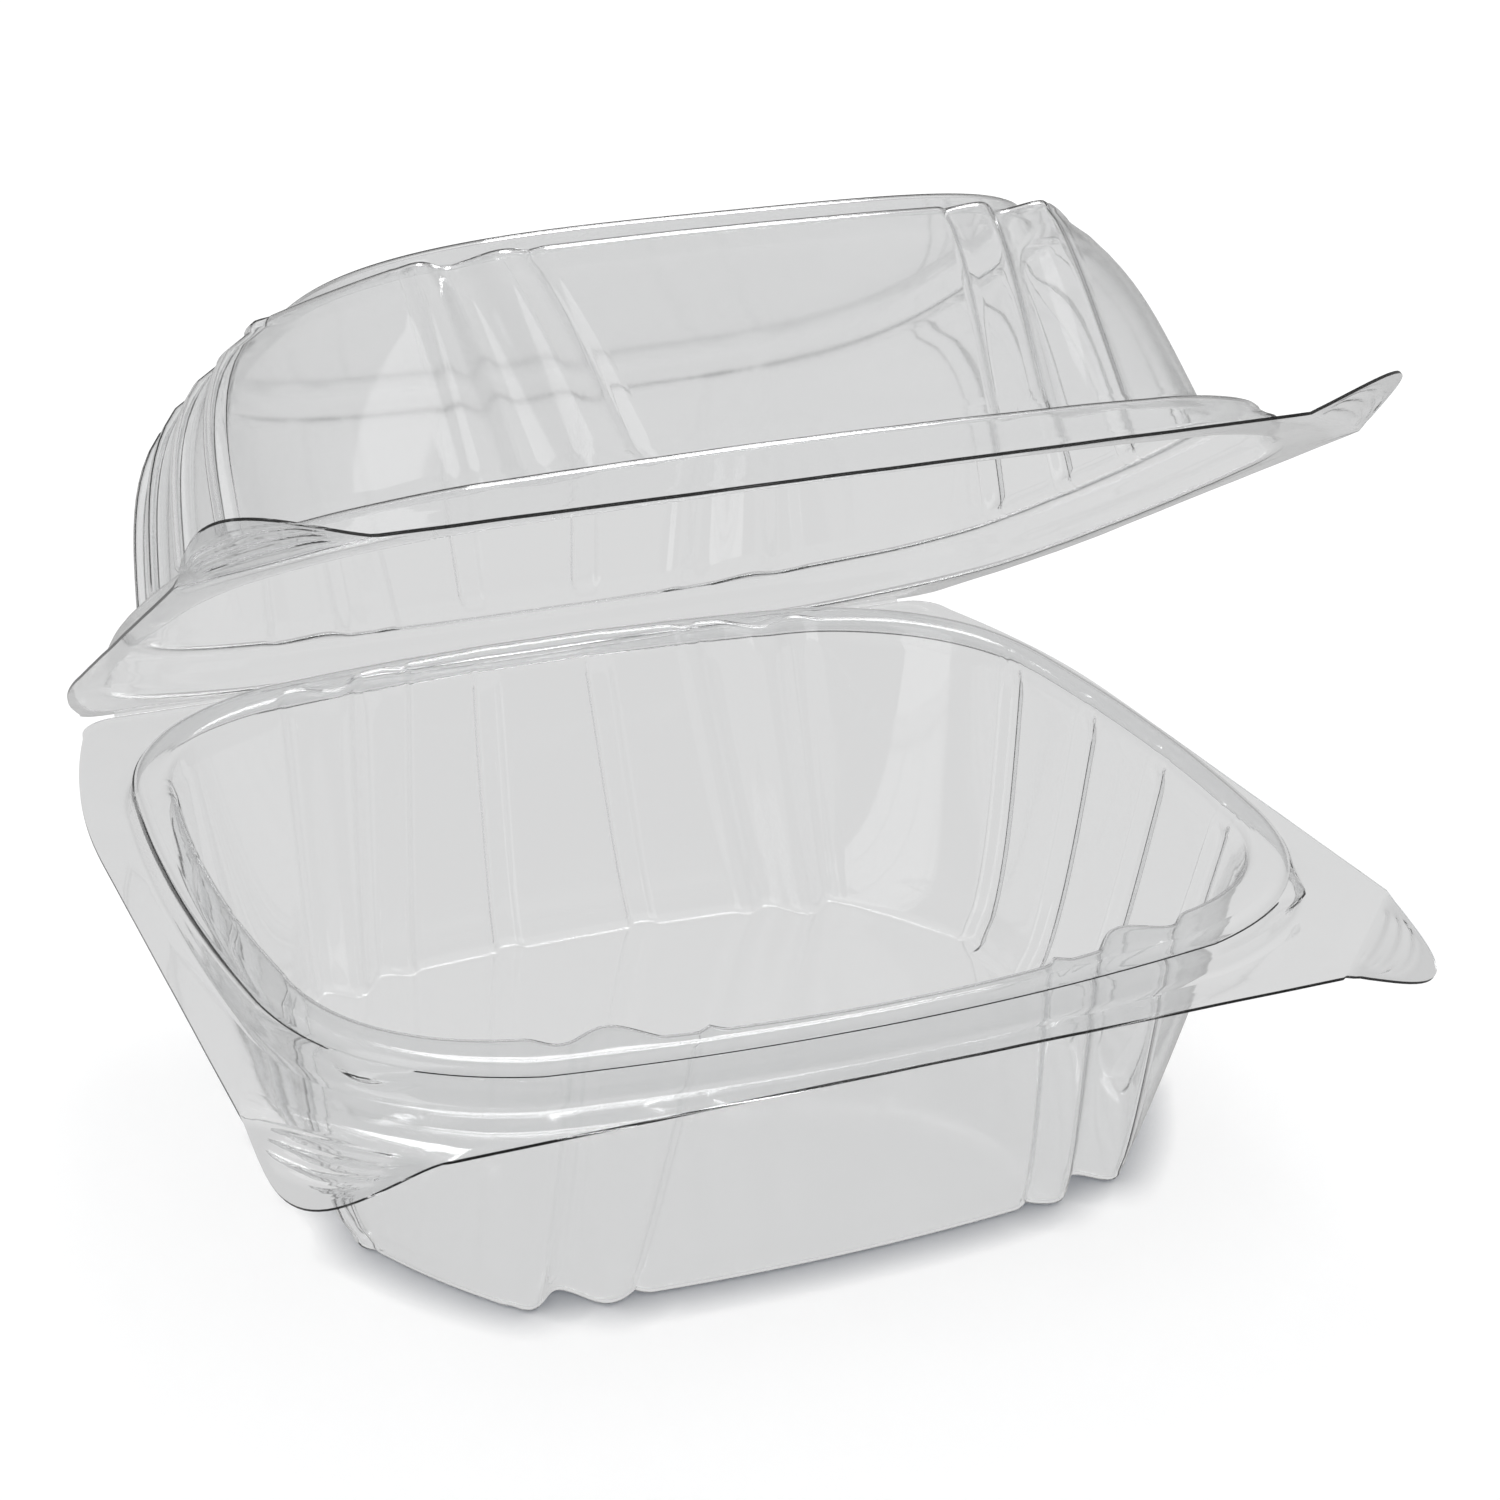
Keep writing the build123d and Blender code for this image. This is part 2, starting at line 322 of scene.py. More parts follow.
def lock_bulge(column, above):
    """How far a front corner's catch stands out, at a height above the catch's middle."""
    if column[0] == "wall" or column[1] in (1, 2):
        return 0
    along = math.exp(-((column[2] - 0.5) / LOCK_WIDTH) ** 2)
    return LOCK_OUT * along * math.cos(math.pi / 2 * above / LOCK_REACH)


print("catches stand out by up to", LOCK_OUT, "mm in", len(LOCK_ROWS), "rows")

# %% The lid's top panel
PANEL_POWER = 3.5              # squareness of the panel's outline


def panel_point(column, inset):
    """A point of the rounded panel: straight in from a wall, or along a ray at a corner."""
    half_sizes = (FOOT[0] - inset, FOOT[1] - inset)

    def wall_point(side, u):
        along, across = half_sizes[side % 2], half_sizes[1 - side % 2]
        return placed(side, u, across * (1 - (abs(u) / along) ** PANEL_POWER) ** (1 / PANEL_POWER))

    side = column[1]
    if column[0] == "wall":
        return wall_point(side, column[2])
    following = (side + 1) % 4
    start, end = wall_point(side, FOOT_END[side % 2]), wall_point(following, -FOOT_END[following % 2])
    ray = start.lerp(end, column[2])
    share = sum((abs(c) / size) ** PANEL_POWER for c, size in zip(ray, half_sizes))
    return ray * share ** (-1 / PANEL_POWER)


panel_front = panel_point(("wall", 0, 0, 0, 0), 0)
print("middle of the panel's front edge", [round(c, 2) for c in panel_front])

# %% [markdown]
# ## The edge of the flange
# A die cut the sheet along straight front and side edges, across each front corner where a tab begins,
# and along sides that narrow towards the hinge. The outline follows those cuts, so that the corners of
# the flange and the ends of the hinge stay crisp. Filling a drawn outline would give uneven faces;
# placing the same columns along it keeps the flange in step with the rim.

# %% Outer edge of the flange
TAB_FRONT = 18.8               # a tab's crease starts this far from the side, on the front edge
TAB_SIDE = 19.3                # and ends this far from the front, on the side edge
CREASE_FRONT = HALF_WIDTH - TAB_FRONT
CREASE_SIDE = TAB_SIDE - HALF_DEPTH
TAPER_LENGTH = 50.0            # the flange narrows over this length towards the hinge
TAPER_FROM = HALF_DEPTH - TAPER_LENGTH
HINGE_TAPER = 6.5              # by how much each side narrows
HINGE_GAP = 0.3                # from the flange's back edge to the hinge axis
HINGE_EDGE = HALF_DEPTH - HINGE_GAP
HINGE_CORNER = 6.0
HINGE_HALF = HALF_WIDTH - HINGE_TAPER - HINGE_CORNER
TAPER_RADIUS = (HINGE_EDGE - HINGE_CORNER - TAPER_FROM) ** 2 / (2 * HINGE_TAPER)
SIDE_BACK = 34.0               # where the side wall's columns end and the back corner's begin
BACK_TURN = 0.75               # share of the back corner's columns before it turns to the hinge


def side_edge(y):
    """Half-width of the flange, narrowing towards the hinge."""
    return HALF_WIDTH - max(0, y - TAPER_FROM) ** 2 / (2 * TAPER_RADIUS)


def back_corner(t):
    """Right side of the flange from its straight part to the end of the hinge."""
    if t <= BACK_TURN:
        y = mix(SIDE_BACK, HINGE_EDGE - HINGE_CORNER, t / BACK_TURN)
        return Vector((side_edge(y), y))
    angle = (t - BACK_TURN) / (1 - BACK_TURN) * math.pi / 2
    reach = side_edge(HINGE_EDGE - HINGE_CORNER) - HINGE_HALF
    return Vector((HINGE_HALF + reach * math.cos(angle),
                   HINGE_EDGE - HINGE_CORNER * (1 - math.sin(angle))))


def flange_point(column):
    """A point of the flange's cut edge; the left half is the right half with x turned over."""
    side = column[1]
    if column[0] == "wall":
        t = column[3] / RIM_END[side % 2]
        if side == 0:
            return Vector((t * CREASE_FRONT, -HALF_DEPTH))
        if side == 2:
            return Vector((-t * HINGE_HALF, HINGE_EDGE))
        along = t if side == 1 else -t
        y = mix(CREASE_SIDE, SIDE_BACK, (along + 1) / 2)
        x = side_edge(y)
        return Vector((x if side == 1 else -x, y))
    t = column[2]
    if side in (0, 3):
        share = t if side == 0 else 1 - t
        x, y = mix(CREASE_FRONT, HALF_WIDTH, share), mix(-HALF_DEPTH, CREASE_SIDE, share)
        return Vector((x if side == 0 else -x, y))
    point = back_corner(t if side == 1 else 1 - t)
    return Vector((point.x if side == 1 else -point.x, point.y))


print("hinge", 2 * HINGE_HALF, "mm long, tab creases from x", CREASE_FRONT, "to y", round(CREASE_SIDE, 2))

# %% [markdown]
# ## Drawing the sheet ring by ring
# `create_circle` makes the first ring, and `extrude_edge_only` draws the next one out of it. Each new
# vertex is moved to its place on the next outline. Round bends between two runs are short fans of rings.
# The last ring is closed by one flat face, inside a narrow inset ring that keeps its shading flat. A
# drawn sheet is never quite even, so a noise then moves it in and out by a few hundredths of a
# millimetre. A bump in the material could fake that, but in the mesh it bends the light as the real waves
# do.

# %% Ring tools
BEND_STEPS = 4


def first_ring(bm, points):
    ring = bmesh.ops.create_circle(bm, segments=len(points), radius=1)["verts"]
    for vert, point in zip(ring, points):
        vert.co = point
    return ring


def ring_edges(bm, ring, closed=True):
    pairs = zip(ring, ring[1:] + ring[:1]) if closed else zip(ring, ring[1:])
    return [bm.edges.get(pair) for pair in pairs]


def draw_ring(bm, ring, points, closed=True):
    """Extrudes a ring of edges and moves the new ring to its points."""
    made = bmesh.ops.extrude_edge_only(bm, edges=ring_edges(bm, ring, closed))["geom"]
    fresh = {g for g in made if isinstance(g, bmesh.types.BMVert)}
    following = []
    for vert, point in zip(ring, points):
        new = next(e.other_vert(vert) for e in vert.link_edges if e.other_vert(vert) in fresh)
        new.co = point
        following.append(new)
    return following


def level_ring(outline, z):
    """The points of a ring at one height: every column's place on an outline."""
    return [outline(column).to_3d() + Vector((0, 0, z)) for column in columns]


def bend(radius):
    """A quarter bend in steps: one distance shrinks from the radius to 0 while the other grows to it."""
    angles = [math.pi / 2 * i / BEND_STEPS for i in range(BEND_STEPS + 1)]
    return [(radius * (1 - math.sin(a)), radius * (1 - math.cos(a))) for a in angles]


print("a bend has", len(bend(1)), "rings")

# %% Rings of the rim
RIM_RISE = 5.0
RIM_DRAFT = 0.8                # the step leans in by this much over its height
ROOT_BEND = 1.0
CROWN_BEND = 1.2
MOUTH_BEND = 1.4
FLANGE_SHARES = (0, 0.35, 0.7)
SHOULDER_SHARES = (0.4, 0.8)


def rim_rings(flange_z, shoulder_z, outside, opening_inset, catch_at):
    """Rings from the flange's edge over the step and shoulder to the start of the wall."""
    rings = []
    for share in FLANGE_SHARES:
        rings.append(level_ring(
            lambda c: flange_point(c).lerp(rim_point(c, outside + ROOT_BEND), share), flange_z))
    for back, up in bend(ROOT_BEND):
        rings.append(level_ring(lambda c: rim_point(c, outside + back), flange_z + up))
    rise = shoulder_z - flange_z
    for above in LOCK_ROWS:
        height = catch_at + above
        rings.append(level_ring(
            lambda c: rim_point(c, outside - RIM_DRAFT * height + lock_bulge(c, above)),
            flange_z + rise * height))
    top_out = outside - RIM_DRAFT
    for up, back in bend(CROWN_BEND):
        rings.append(level_ring(lambda c: rim_point(c, top_out - back), shoulder_z - up))
    for share in SHOULDER_SHARES:
        rings.append(level_ring(
            lambda c: rim_point(c, top_out - CROWN_BEND).lerp(
                fluted_point(c, 1, opening_inset - MOUTH_BEND), share), shoulder_z))
    for back, down in bend(MOUTH_BEND):
        rings.append(level_ring(lambda c: fluted_point(c, 1, opening_inset - back), shoulder_z - down))
    return rings


# %% Rings of a wall
WALL_RINGS = 17
WALL_CROWDING = 1.3            # over 1, the rings lie closer together at the mouth


def wall_rings(mouth_z, foot_z, radius, inset, swell):
    """Rings along a fluted wall from its mouth to its foot, and round onto the flat."""
    towards_mouth = math.copysign(1, mouth_z - foot_z)
    from_z, to_z = mouth_z - towards_mouth * MOUTH_BEND, foot_z + towards_mouth * radius
    rings = []
    for i in range(1, WALL_RINGS + 1):
        z = mix(from_z, to_z, (i / WALL_RINGS) ** WALL_CROWDING)
        share = (z - to_z) / (mouth_z - to_z)
        rings.append(level_ring(lambda c: fluted_point(c, share, inset, swell), z))
    for up, back in bend(radius)[1:]:
        rings.append(level_ring(lambda c: fluted_point(c, 0, inset + back), foot_z + towards_mouth * up))
    return rings


# %% From rings to a drawn sheet
WAVE_HEIGHT = 0.06
WAVE_LENGTH = Vector((9.0, 9.0, 28.0))
WAVE_FADE = 5.0                # the waves fade out over this height above the flat


def ripple(bm, flat_z):
    """Moves the sheet a little in and out, in waves drawn long up the walls; the flat stays flat."""
    bm.normal_update()
    for vert in bm.verts:
        place = Vector(c / length for c, length in zip(vert.co, WAVE_LENGTH))
        fade = min(1, abs(vert.co.z - flat_z) / WAVE_FADE)
        vert.co += vert.normal * WAVE_HEIGHT * fade * noise.noise(place)


def draw_sheet(rings):
    """Draws a sheet through its rings and closes the last one; gives the sheet and its outer ring."""
    bm = bmesh.new()
    bm.verts.layers.float.new("tab_grey")
    outer = ring = first_ring(bm, rings[0])
    for points in rings[1:]:
        ring = draw_ring(bm, ring, points)
    bmesh.ops.edgeloop_fill(bm, edges=ring_edges(bm, ring))
    ripple(bm, rings[-1][0].z)
    print("drew", len(rings), "rings,", len(bm.faces), "faces")
    return bm, outer


# %% [markdown]
# ## Finger tabs
# Each front corner ends in a rounded tab, bent away from the other half so that a finger can part them.
# It could be a separate plate, but on the real pack it is the same sheet. So it is drawn out of the
# crease in the flange, in rings that grow into its round end, and pressed into short grip ridges with a
# flat border. The ridges stretch the sheet thin, and the border keeps its full thickness: the attribute
# `tab_grey` says so.

# %% Shape of a tab
TAB_REACH = 10.0
TAB_BEND = math.radians(24.0)
TAB_RINGS = 26
TAB_LEAVES = (1.4, 1.1)        # how slowly the outline leaves the crease, at its front and its side end
NARROW_TAB = 2.4               # reach under which the rings are so close that they are merged
RIDGE_PITCH = 2.1
RIDGE_HEIGHT = 0.32
RIDGE_FROM, RIDGE_TO = 0.4, 7.6
RIDGE_FADE = 0.8
RIDGE_BORDER = 1.0             # flat border between the ridges and the tab's edge
RIDGE_REACH = (4.5, 7.0)       # reach of the tab where ridges begin, and where they are full
GREY_FROM = 1.5                # distance out of the crease at which a tab has its full grey
RIDGE_GREY = 0.5               # share of that grey left on the ridges


def tab_outline(t):
    """How far the tab reaches out of its crease, from the crease's front end, 0, to its side end, 1."""
    return TAB_REACH * math.sin(math.pi * t) ** mix(*TAB_LEAVES, t)


def grip_ridges(out, edge):
    """Height of the ridges at a distance out of the crease, and how far they have faded in, 0 to 1."""
    if edge < NARROW_TAB:
        return 0, 0
    arc = out * math.sqrt(TAB_REACH / edge)
    room = min(arc - RIDGE_FROM, RIDGE_TO - arc, edge - RIDGE_BORDER - out) / RIDGE_FADE
    length = (edge - RIDGE_REACH[0]) / (RIDGE_REACH[1] - RIDGE_REACH[0])
    inside = clamp(room) * ease(clamp(length))
    wave = (1 - math.cos(2 * math.pi * (arc - RIDGE_FROM) / RIDGE_PITCH)) / 2
    return RIDGE_HEIGHT * inside * wave, inside


print("a tab reaches", tab_outline(0.5), "mm and has ridges every", RIDGE_PITCH, "mm")


# %% Drawing the tabs
def draw_tab(bm, ring, side, up):
    """Draws one tab from a stretch of the flange's outer ring."""
    grey = bm.verts.layers.float["tab_grey"]
    shares = [i / (len(ring) - 1) for i in range(len(ring))]
    edges = [tab_outline(t if side == 0 else 1 - t) for t in shares]
    along = (ring[-1].co - ring[0].co).normalized()
    flat_out = Vector((along.y, -along.x, 0))
    lean_up, lean_out = up * math.sin(TAB_BEND), math.cos(TAB_BEND)
    lean = flat_out * lean_out + Vector((0, 0, lean_up))
    normal = Vector((0, 0, lean_out)) - flat_out * lean_up
    roots = [v.co.copy() for v in ring]
    narrow = [v for v, edge in zip(ring, edges) if edge < NARROW_TAB]
    for k in range(1, TAB_RINGS + 1):
        outs = [edge * k / TAB_RINGS for edge in edges]
        ridges = [grip_ridges(out, edge) for out, edge in zip(outs, edges)]
        points = [root + lean * out + normal * height
                  for root, out, (height, _) in zip(roots, outs, ridges)]
        ring = draw_ring(bm, ring, points, closed=False)
        for vert, out, (_, inside) in zip(ring, outs, ridges):
            vert[grey] = min(1, out / GREY_FROM) * mix(1, RIDGE_GREY, inside)
        narrow += [v for v, edge in zip(ring, edges) if edge < NARROW_TAB]
    bmesh.ops.remove_doubles(bm, verts=narrow, dist=SHEET / 2)


def draw_tabs(bm, outer, up):
    """Draws both tabs from the flange's outer ring; up is 1 on the lid and -1 on the base."""
    for side in (0, 3):
        corner = [i for i, c in enumerate(columns) if c[0] == "corner" and c[1] == side]
        chosen = [corner[0] - 1] + corner + [(corner[-1] + 1) % len(columns)]
        draw_tab(bm, [outer[i] for i in chosen], side, up)


# %% [markdown]
# ## From sheet to piece
# The drawn surface is the middle of the sheet. Solidify gives it the real thickness on both sides, and
# the cut edges of the sheet are marked sharp so that they shade as cuts and not as round bends. The
# modifier's result becomes the piece's own mesh, because each vertex then gets a `haze` value, which the
# material reads.

# %% Sheet piece
SHARP_ANGLE = math.radians(50)
HAZE_SIZE = 22 * MM


def sheet_piece(name, bm, thickness=SHEET):
    """Turns a drawn sheet into a finished piece, in metres, with its thickness."""
    bmesh.ops.recalc_face_normals(bm, faces=bm.faces)
    bmesh.ops.scale(bm, vec=(MM, MM, MM), verts=bm.verts)
    mesh = bpy.data.meshes.new(name)
    bm.to_mesh(mesh)
    bm.free()
    piece = bpy.data.objects.new(name, mesh)
    scene.collection.objects.link(piece)
    solid = piece.modifiers.new("sheet", "SOLIDIFY")
    solid.thickness = thickness * MM
    solid.offset = 0
    bpy.context.view_layer.update()
    thick = bpy.data.meshes.new_from_object(piece.evaluated_get(bpy.context.evaluated_depsgraph_get()))
    piece.modifiers.clear()
    piece.data = thick
    bpy.data.meshes.remove(mesh)
    thick.name = name
    thick.polygons.foreach_set("use_smooth", [True] * len(thick.polygons))
    thick.set_sharp_from_angle(angle=SHARP_ANGLE)
    haze = thick.attributes.new("haze", "FLOAT", "POINT")
    haze.data.foreach_set("value", [0.5 + 0.5 * noise.noise(v.co / HAZE_SIZE) for v in thick.vertices])
    print(name, len(thick.polygons), "faces")
    return piece


# %% [markdown]
# ## The base tray
# The tray runs from its flange over the rim to the opening and down its drafted walls to the flat foot.
# Its walls swell a little on the way, as a drawn sheet does. A loft between two outlines would be
# straight there.

# %% Base tray
WALL_INSET = SHEET / 2
FOOT_BEND = 1.8
FOOT_RING = 0.6                # width of the flat ring around the foot's one large face
TRAY_SWELL = (1.6, 1.0)        # swell of the side walls, and of the front and back
TRAY_CATCH = 0.55              # height of the catches, as a share of the step's
tray_flange = BASE_HEIGHT - SHEET / 2
tray_shoulder = BASE_HEIGHT + RIM_RISE - SHEET / 2

tray_rings = rim_rings(tray_flange, tray_shoulder, -SHEET / 2, WALL_INSET, TRAY_CATCH)
tray_rings += wall_rings(tray_shoulder, SHEET / 2, FOOT_BEND, WALL_INSET, TRAY_SWELL)
tray_rings.append(level_ring(lambda c: fluted_point(c, 0, FOOT_BEND + FOOT_RING), SHEET / 2))
tray_mesh, tray_outer = draw_sheet(tray_rings)
draw_tabs(tray_mesh, tray_outer, -1)
base_tray = sheet_piece("clear_base_tray", tray_mesh)

# %% [markdown]
# ## The lid
# The lid has the tray's plan, turned over, with a slightly larger rim that closes over the tray's. Its
# fluted walls end in a narrow ledge, and a smooth panel stands up inside that. It is drawn closed and
# then turned about the hinge to its place in the photograph, because its shape is simplest to give when
# it is level.

# %% Rings of the lid
STACK_GAP = 0.3                # between the two flanges when the pack is closed
RIM_GAP = 0.4                  # between the two rims
PANEL_RISE = 3.0
PANEL_INSET = 5.0
PANEL_DRAFT = 0.4
PANEL_ROOT = 0.8
PANEL_CROWN = 1.2
PANEL_RING = 1.0               # width of the flat ring around the panel's one large face
LEDGE_BEND = 1.4
LID_SWELL = (4.0, 1.5)
LID_CATCH = 0.42
closed_z = BASE_HEIGHT + STACK_GAP
lid_flange = SHEET / 2
lid_shoulder = RIM_RISE + RIM_GAP + SHEET / 2
ledge = LID_HEIGHT - PANEL_RISE - SHEET / 2
top = LID_HEIGHT - SHEET / 2


def lid_wall_rings():
    """Rings up the lid's wall, over its ledge and onto the raised panel."""
    rings = wall_rings(lid_shoulder, ledge, LEDGE_BEND, WALL_INSET, LID_SWELL)
    for back, up in bend(PANEL_ROOT):
        rings.append(level_ring(lambda c: panel_point(c, PANEL_INSET - back), ledge + up))
    top_inset = PANEL_INSET + PANEL_DRAFT
    for down, back in bend(PANEL_CROWN):
        rings.append(level_ring(lambda c: panel_point(c, top_inset + back), top - down))
    rings.append(level_ring(lambda c: panel_point(c, top_inset + PANEL_CROWN + PANEL_RING), top))
    return rings


def lid_rim_rings():
    """The tray's rim again, but its mouth's bend is turned over and the wall goes on upwards."""
    rings = rim_rings(lid_flange, lid_shoulder, RIM_GAP + SHEET / 2, WALL_INSET, LID_CATCH)
    for ring in rings[-len(bend(MOUTH_BEND)):]:
        for point in ring:
            point.z = 2 * lid_shoulder - point.z
    return rings


# %% Lid
lid_mesh, lid_outer = draw_sheet(lid_rim_rings() + lid_wall_rings())
draw_tabs(lid_mesh, lid_outer, 1)
bmesh.ops.translate(lid_mesh, vec=(0, 0, closed_z), verts=lid_mesh.verts)
open_turn = Matrix.Rotation(math.radians(closed_turn), 3, "X")
bmesh.ops.rotate(lid_mesh, cent=hinge, matrix=open_turn, verts=lid_mesh.verts)
lid = sheet_piece("clear_lid", lid_mesh)

# %% [markdown]
# ## The living hinge
# Between the two back edges the sheet is pressed thin and folds. A narrow grid is bent along a curve that
# leaves one flange and comes back to the other, and its two long edges later follow the two halves. A pin
# or a strip on one half alone would part from the other when the lid moves.

# %% Living hinge
WEB_SHEET = 0.25
WEB_REACH = 0.5                # how far the fold's curve aims out past each edge
WEB_END = 0.02                 # gap between the web and the cut edge of a flange
WEB_STEPS = 8
WEB_LENGTH_STEPS = 48


def turned(y, z):
    """A point of the closed lid, in the hinge's plane, turned to where the lid stands open."""
    return hinge + open_turn @ (Vector((hinge.x, y, z)) - hinge)


def curve_point(a, b, c, d, t):
    """A point of a cubic curve from a to d that aims at b and comes in from c."""
    s = 1 - t
    return a * s ** 3 + b * 3 * s * s * t + c * 3 * s * t * t + d * t ** 3


web_start = Vector((0, HINGE_EDGE + WEB_END, tray_flange))
web_end = turned(HINGE_EDGE + WEB_END, closed_z + lid_flange)
web_in = web_start + Vector((0, WEB_REACH, 0))
web_out = web_end + open_turn @ Vector((0, WEB_REACH, 0))
web_mesh = bmesh.new()
bmesh.ops.create_grid(web_mesh, x_segments=WEB_LENGTH_STEPS, y_segments=WEB_STEPS, size=1)
for vert in web_mesh.verts:
    across, along = vert.co.x, (vert.co.y + 1) / 2
    vert.co = curve_point(web_start, web_in, web_out, web_end, along)
    vert.co.x = across * HINGE_HALF
hinge_web = sheet_piece("hinge_web", web_mesh, WEB_SHEET)

# %% [markdown]
# ## Clear plastic
# The sheet is clear and glossy, with a faint grey that deepens where layers lie behind each other. A mix
# with a transparent shader would show no bends, so a glass-like shader covers both faces of the thin
# sheet. That gives the dark lines at its cut edges and tight bends too. The `haze` value that each vertex
# carries makes some places a little duller than others, and `tab_grey` makes the flat of the tabs a
# little greyer.

# %% Node helper
def add_node(tree, kind, *first, **named):
    """A new node; values or other nodes' outputs go to its first sockets in order, or by name."""
    node = tree.nodes.new("ShaderNode" + kind)
    chosen = list(zip(node.inputs, first))
    chosen += [(node.inputs[name.replace("_", " ")], value) for name, value in named.items()]
    for socket, value in chosen:
        if isinstance(value, bpy.types.NodeSocket):
            tree.links.new(value, socket)
        else:
            socket.default_value = value
    return node


def new_material(name):
    """An empty material, with its node tree and output node."""
    material = bpy.data.materials.new(name)
    material.use_nodes = True
    material.node_tree.nodes.clear()
    return material, material.node_tree, add_node(material.node_tree, "OutputMaterial")


# %% Material
CLEAR = (0.932, 0.935, 0.937, 1)
FULL_GREY = (0.8, 0.803, 0.806, 1)
GLOSS = (0.025, 0.085)         # roughness where the sheet is clearest and where it is dullest
PLASTIC_IOR = 1.45


def clear_plastic():
    """A clear, glossy plastic, duller by `haze` and greyer by `tab_grey`."""
    material, tree, output = new_material("clear_sheet_plastic")
    tab_grey = add_node(tree, "Attribute")
    tab_grey.attribute_name = "tab_grey"
    haze = add_node(tree, "Attribute")
    haze.attribute_name = "haze"
    tint = add_node(tree, "MixRGB", Fac=tab_grey.outputs["Fac"], Color1=CLEAR, Color2=FULL_GREY)
    gloss = add_node(tree, "MapRange", Value=haze.outputs["Fac"], To_Min=GLOSS[0], To_Max=GLOSS[1])
    plastic = add_node(tree, "BsdfPrincipled", Base_Color=tint.outputs["Color"], Transmission_Weight=1,
                       IOR=PLASTIC_IOR, Roughness=gloss.outputs[0])
    tree.links.new(plastic.outputs["BSDF"], output.inputs["Surface"])
    return material


plastic = clear_plastic()
for piece in (base_tray, lid, hinge_web):
    piece.data.materials.clear()
    piece.data.materials.append(plastic)
print(plastic.name, "on", base_tray.name, lid.name, hinge_web.name)

# %% [markdown]
# ## The floor
# A pale floor runs out of view. Seen straight it is nearly white, with a soft shade close to the foot,
# partly real shadow and partly painted shade that darkens its glow where the pack is near. A plain white
# floor under more lamps would wash the clear walls out, so the floor glows a little for the camera instead,
# and what the plastic mirrors or shows of it is an even pale grey.

# %% Floor
FLOOR_RADIUS = 6.0
FLOOR_SEGMENTS = 96
FLOOR_DROP = 0.1 * MM          # keeps the floor just under the foot
FLOOR_PAINT = (0.35, 0.35, 0.353, 1)
FLOOR_GLOW = 0.72
FLOOR_MIRRORED = 0.5
FLOOR_THROUGH = 0.75
WHITE = (1, 1, 1, 1)
SHADE = (0, 0.015, 0.045, 1)
SHADE_REACH = 6 * MM
SHADE_SAMPLES = 4

floor_mesh = bmesh.new()
bmesh.ops.create_circle(floor_mesh, cap_ends=True, segments=FLOOR_SEGMENTS, radius=FLOOR_RADIUS)
bmesh.ops.translate(floor_mesh, vec=(0, 0, -FLOOR_DROP), verts=floor_mesh.verts)
floor_data = bpy.data.meshes.new("floor")
floor_mesh.to_mesh(floor_data)
floor_mesh.free()
floor = bpy.data.objects.new("floor", floor_data)
scene.collection.objects.link(floor)


def between(tree, value, at_0, at_1):
    """A number that goes from at_0 to at_1 as a node output goes from 0 to 1."""
    return add_node(tree, "MapRange", Value=value, To_Min=at_0, To_Max=at_1).outputs[0]


def floor_material():
    """Seen straight, a pale floor with real shadow and painted shade at the foot; mirrored or through
    plastic, an even grey.
    """
    material, tree, output = new_material("pale_floor")
    path = add_node(tree, "LightPath").outputs
    paint = add_node(tree, "BsdfDiffuse", Color=FLOOR_PAINT)
    # Painted shade: ambient occlusion darkens the floor's glow from white towards SHADE near the pack's
    # foot.
    near = add_node(tree, "AmbientOcclusion", Distance=SHADE_REACH, Color=WHITE)
    near.samples = SHADE_SAMPLES
    shade = add_node(tree, "MixRGB", Fac=near.outputs["AO"], Color1=SHADE, Color2=WHITE)
    glow = add_node(tree, "Emission", Color=shade.outputs["Color"],
                    Strength=between(tree, path["Is Camera Ray"], 0, FLOOR_GLOW))
    straight = add_node(tree, "AddShader", paint.outputs[0], glow.outputs[0])
    even = add_node(tree, "Emission",
                    Strength=between(tree, path["Is Transmission Ray"], FLOOR_MIRRORED, FLOOR_THROUGH))
    show = add_node(tree, "MixShader", path["Is Glossy Ray"], straight.outputs[0], even.outputs[0])
    tree.links.new(show.outputs[0], output.inputs["Surface"])
    return material


floor_data.materials.append(floor_material())
print("floor", 2 * FLOOR_RADIUS, "m across")

# %% [markdown]
# ## Sky and lamps
# An even bright sky gives the clear walls something white to show. Clear things look best when what they
# mirror isn't all white, so the mirrored sky is dimmer towards the horizon, like a studio with a bright
# ceiling. A picture of a studio could do that too, but a plain gradient is enough. Two broad lamps add
# soft highlights.

# %% Sky
SKY_LIGHT = 0.78               # strength of the sky as a light
SKY_SEEN = 1.0                 # its strength where it is seen, straight or through plastic
CEILING_RISE = (0.15, 0.75)    # heights of a direction where the mirrored sky begins and ends to brighten
CEILING = (0.4, 1.0)           # mirrored strength at those heights


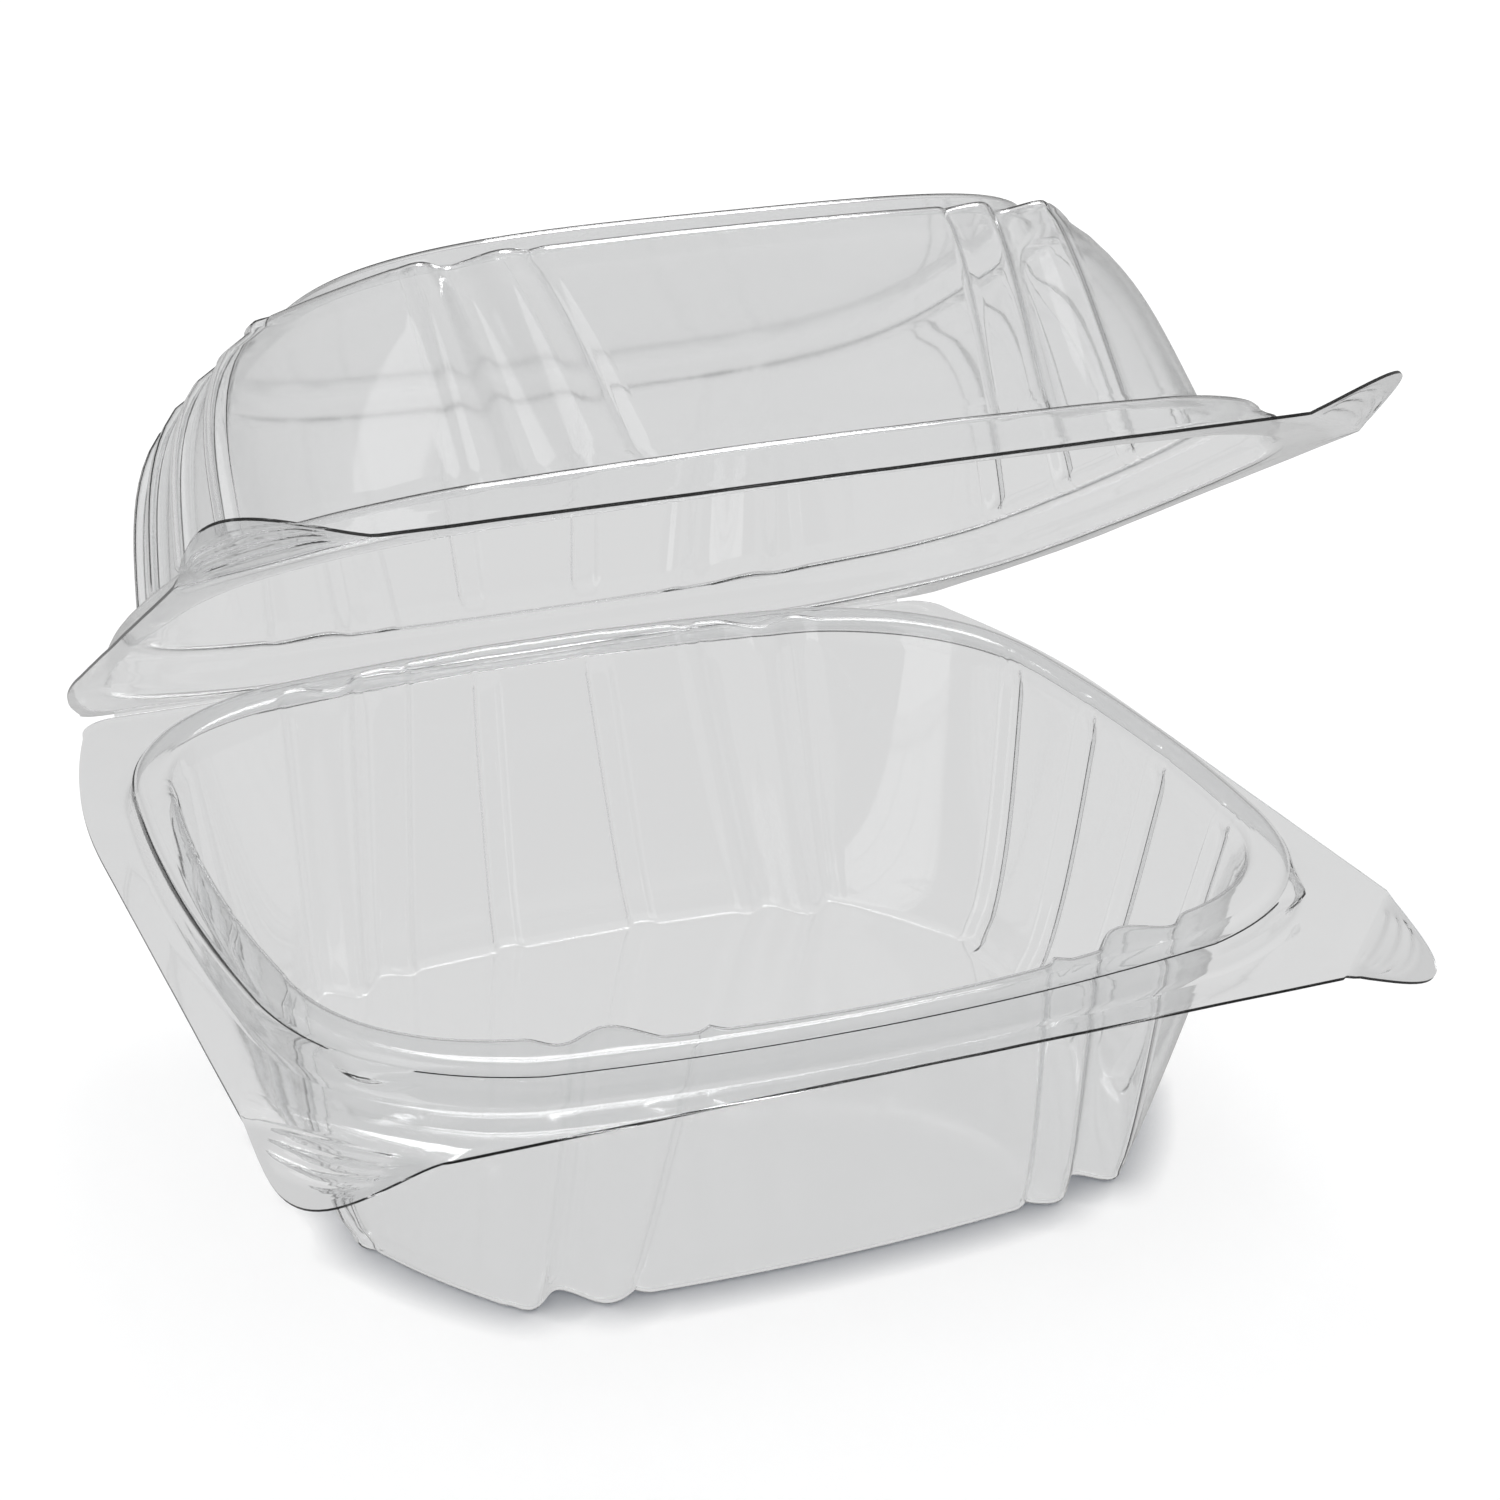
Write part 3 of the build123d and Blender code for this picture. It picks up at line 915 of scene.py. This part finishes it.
def studio_sky():
    """An even white sky that is dimmer towards the horizon where it is mirrored."""
    world = bpy.data.worlds.new("studio")
    world.use_nodes = True
    world.cycles.sampling_method = "NONE"
    tree = world.node_tree
    path = add_node(tree, "LightPath").outputs
    seen = add_node(tree, "Math", path["Is Camera Ray"], path["Is Transmission Ray"])
    seen.operation = "MAXIMUM"
    height = add_node(tree, "SeparateXYZ", add_node(tree, "TexCoord").outputs["Generated"])
    ceiling = add_node(tree, "MapRange", Value=height.outputs["Z"], To_Min=CEILING[0], To_Max=CEILING[1],
                       From_Min=CEILING_RISE[0], From_Max=CEILING_RISE[1])
    level = add_node(tree, "Mix", Factor=path["Is Glossy Ray"],
                     A=between(tree, seen.outputs[0], SKY_LIGHT, SKY_SEEN), B=ceiling.outputs[0])
    sky = tree.nodes["Background"]
    sky.inputs["Color"].default_value = WHITE
    tree.links.new(level.outputs[0], sky.inputs["Strength"])
    return world


scene.world = studio_sky()
print("sky", scene.world.name)


# %% Lamps
def lamp(name, place, target, size, power):
    """A rectangular lamp at a place, turned to a target, in metres and watts."""
    data = bpy.data.lights.new(name, "AREA")
    data.shape = "RECTANGLE"
    data.size, data.size_y = size
    data.energy = power
    thing = bpy.data.objects.new(name, data)
    scene.collection.objects.link(thing)
    thing.location = place
    thing.rotation_mode = "QUATERNION"
    thing.rotation_quaternion = (Vector(target) - Vector(place)).to_track_quat("-Z", "Y")
    print("lamp", name, power, "W")


lamp("key", (0.3, 0.75, 0.95), (0, 0, 0.05), (0.45, 0.45), 4.0)
lamp("side", (-0.85, -0.25, 0.55), (0, 0, 0.06), (0.6, 1.2), 2.5)
scene.view_settings.view_transform = "Standard"
scene.cycles.max_bounces = 16
scene.cycles.transmission_bounces = 16
scene.cycles.glossy_bounces = 6

# %% [markdown]
# ## Bodies
# The pack moves as two bodies, base and lid. Each sheet piece rides on its own body and stands for the
# plain measured solid of the same half. Riding the hinge on one of them would tear it, so it is blended
# from one to the other.

# %% Ride on the bodies
for piece, node, body in ((base_tray, "base_tray", "base"), (lid, "lid", "lid")):
    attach(piece, body)
    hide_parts(node)
    print(piece.name, "rides on", body)

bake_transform(hinge_web, "base", "lid", start=web_start * MM, end=web_end * MM)
print(hinge_web.name, "follows both")
